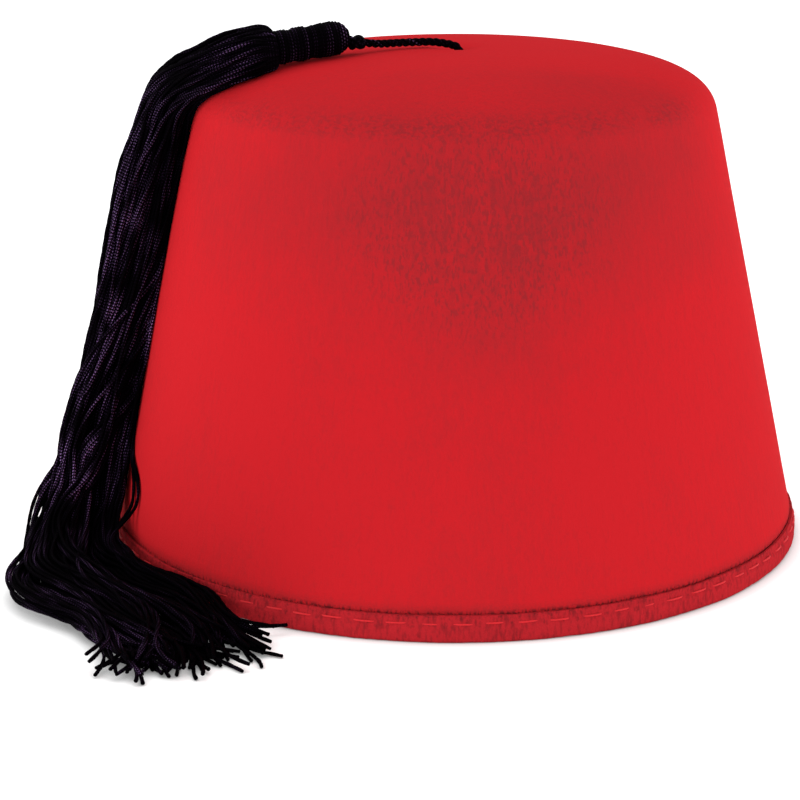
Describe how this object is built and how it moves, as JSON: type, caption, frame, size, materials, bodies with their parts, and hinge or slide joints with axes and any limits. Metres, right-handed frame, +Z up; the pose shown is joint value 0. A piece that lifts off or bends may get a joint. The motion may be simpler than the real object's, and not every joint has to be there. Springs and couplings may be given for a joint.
{
  "type": "fez hat",
  "caption": "Red felt fez: a hollow tapered crown with a flat top, a stitched hem band, and a dark cord tassel that hangs from the top's centre down one side.",
  "frame": {"origin": "on the crown's axis, in the plane that the hem stands on", "axes": "+Z up along the crown's axis of revolution, -Y towards the viewer of the picture, -X the side that the tassel hangs on"},
  "size_m": [0.209, 0.2103, 0.1411],
  "materials": {
    "red_felt": "matt pressed wool felt, bright red with fine mottling",
    "hem_felt": "rough darker red felt with a line of red stitches",
    "tassel_yarn": "knitted rayon cord, black with a violet sheen"
  },
  "bodies": {
    "root": {"crown": "red_felt", "hem_band": "hem_felt", "tassel_cord": "tassel_yarn", "tassel": "tassel_yarn"}
  },
  "joints": []
}
